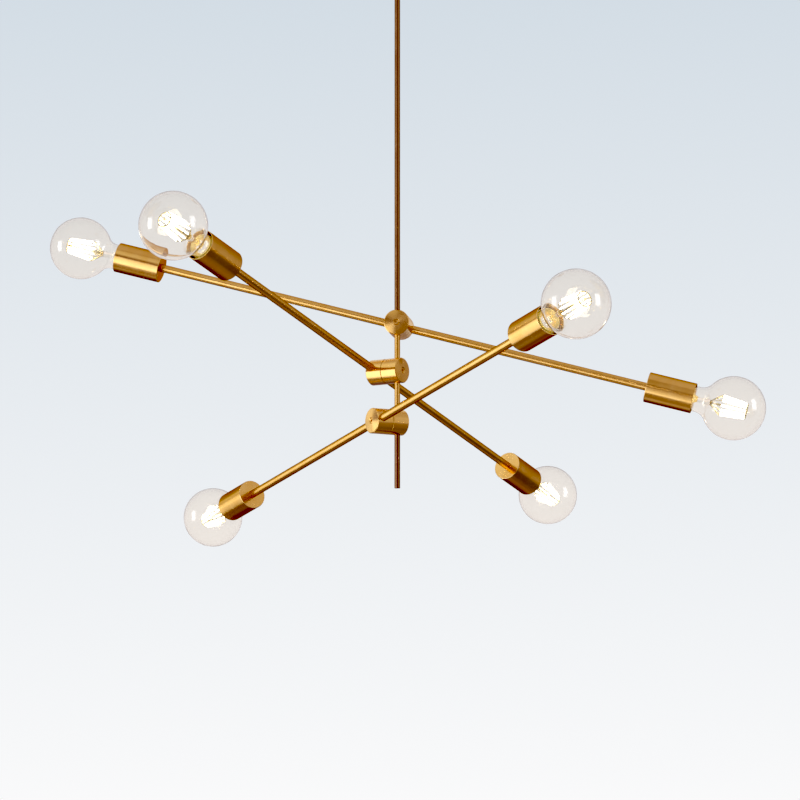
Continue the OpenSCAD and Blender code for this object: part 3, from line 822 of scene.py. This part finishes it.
def before_print(r, g, b):
    """The light that the black point turns into this colour."""
    return colour(*(BLACK + (1 - BLACK) * value for value in (r, g, b)))


def backdrop(graph, elevation):
    """A pale wall seen by the camera and through the glass: white low down, blue-grey above."""
    rise = graph.math("SINE", graph.math("RADIANS", elevation))
    low = math.sin(math.radians(BACKDROP_FOOT))
    high = math.sin(math.radians(BACKDROP_HEAD))
    shade = graph.span(rise, low, high, smooth=False)
    return graph.mix(shade, before_print(*BACKDROP_LOW), before_print(*BACKDROP_HIGH))


def studio():
    """Light that differs by kind of ray: soft and sharp reflections, matt surfaces, and what is seen."""
    world = bpy.data.worlds.new("studio")
    bpy.context.scene.world = world
    world.use_nodes = True
    graph = Graph(world.node_tree)
    rays = graph.add("ShaderNodeLightPath").outputs
    azimuth, elevation = world_direction(graph)
    rise = graph.span(elevation, STUDIO_FOOT, STUDIO_HEAD)
    base = graph.mix(rise, lamp(STUDIO_LOW), lamp(STUDIO_HIGH))
    light = with_panels(graph, base, azimuth, elevation, PANELS)
    sharp = with_panels(graph, lamp(DIM_ROOM), azimuth, elevation, WINDOWS)
    light = graph.mix(rays["Is Singular Ray"], light, sharp)
    light = graph.mix(rays["Is Diffuse Ray"], light, MATT_LIGHT)
    seen = graph.math("MAXIMUM", rays["Is Camera Ray"], rays["Is Transmission Ray"])
    light = graph.mix(seen, light, backdrop(graph, elevation))
    shader = graph.add("ShaderNodeBackground", {"Color": light})
    output = graph.add("ShaderNodeOutputWorld")
    graph.tree.links.new(shader.outputs[0], output.inputs["Surface"])


def print_look():
    """Plain colours with a raised black point."""
    settings = bpy.context.scene.view_settings
    settings.view_transform = "Standard"
    settings.use_curve_mapping = True
    settings.curve_mapping.black_level = (BLACK, BLACK, BLACK)
    settings.curve_mapping.update()


def floor():
    """A pale matt disc far below, which neither lights the chandelier nor shows in its brass."""
    material, graph, shader = new_material("floor")
    grain = graph.noise(object_place(graph), 3, 4.0)
    tone = graph.mix(grain, colour(0.84, 0.84, 0.84), colour(0.88, 0.88, 0.88))
    graph.feed(shader.inputs["Base Color"], tone)
    shader.inputs["Roughness"].default_value = 0.8
    piece = lathe("floor", [(FLOOR_R, 0.0, 0.0), (0.0, 0.0, 0.0)], closed=False)
    piece.data.materials.append(material)
    piece.location.z = cad_box[0].z - FLOOR_DROP
    piece.visible_glossy = False
    piece.visible_diffuse = False


def camera():
    """A long lens below the hubs that looks slightly up."""
    data = bpy.data.cameras.new("camera")
    data.lens = CAMERA_LENS
    data.sensor_width = 36
    data.clip_end = 100
    eye = bpy.data.objects.new("camera", data)
    bpy.context.scene.collection.objects.link(eye)
    eye.location = CAMERA_AT
    eye.rotation_euler = (math.radians(90 + CAMERA_RISE), 0, 0)
    bpy.context.scene.camera = eye


def light_paths():
    """Enough bounces for light through several walls of glass, and no stray bright dots."""
    settings = bpy.context.scene.cycles
    settings.transmission_bounces = 16
    settings.max_bounces = 20
    settings.sample_clamp_indirect = 4.0


studio()
floor()
camera()
print_look()
light_paths()
